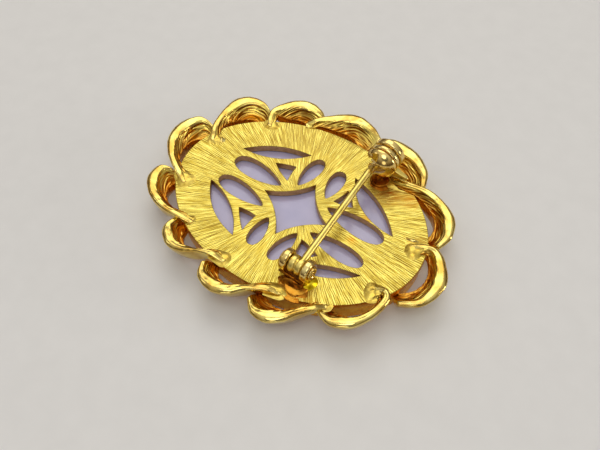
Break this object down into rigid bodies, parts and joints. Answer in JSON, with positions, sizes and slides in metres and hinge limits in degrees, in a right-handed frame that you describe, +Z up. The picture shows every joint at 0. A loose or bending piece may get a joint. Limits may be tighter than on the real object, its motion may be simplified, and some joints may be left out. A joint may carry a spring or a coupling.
{
  "type": "porcelain brooch",
  "caption": "Oval porcelain brooch seen from behind: pierced gilt back plate, border of cast leaves, domed porcelain oval, hinged pin and safety catch with a turning roller.",
  "frame": {"origin": "centre of the bounding box at the height of the surface it lies on, face down", "axes": "+X along the oval's length, +Y across it from the pin's hinge to its catch, +Z up, out of the back of the brooch"},
  "size_m": [0.049, 0.0386, 0.01],
  "materials": {
    "gilt_plate": "brushed gilt",
    "gilt_cast": "polished gilt",
    "gilt_fittings": "polished gilt",
    "porcelain": "glazed"
  },
  "bodies": {
    "brooch": {"back_plate": "gilt_plate", "leaf_border": "gilt_cast", "porcelain": "porcelain", "hinge_rivet": "gilt_fittings"},
    "pin": {"pin_stem": "gilt_fittings"},
    "roller": {"catch_roller": "gilt_fittings"}
  },
  "joints": [
    {"name": "pin_swing", "type": "hinge", "parent": "brooch", "child": "pin", "pos_m": [0.00722, -0.01015, 0.0064], "axis": [1, 0, 0], "range_deg": [0, 110]},
    {"name": "catch_turn", "type": "hinge", "parent": "brooch", "child": "roller", "pos_m": [0.007, 0.0117, 0.0075], "axis": [0, -1, 0], "range_deg": [0, 100]}
  ]
}
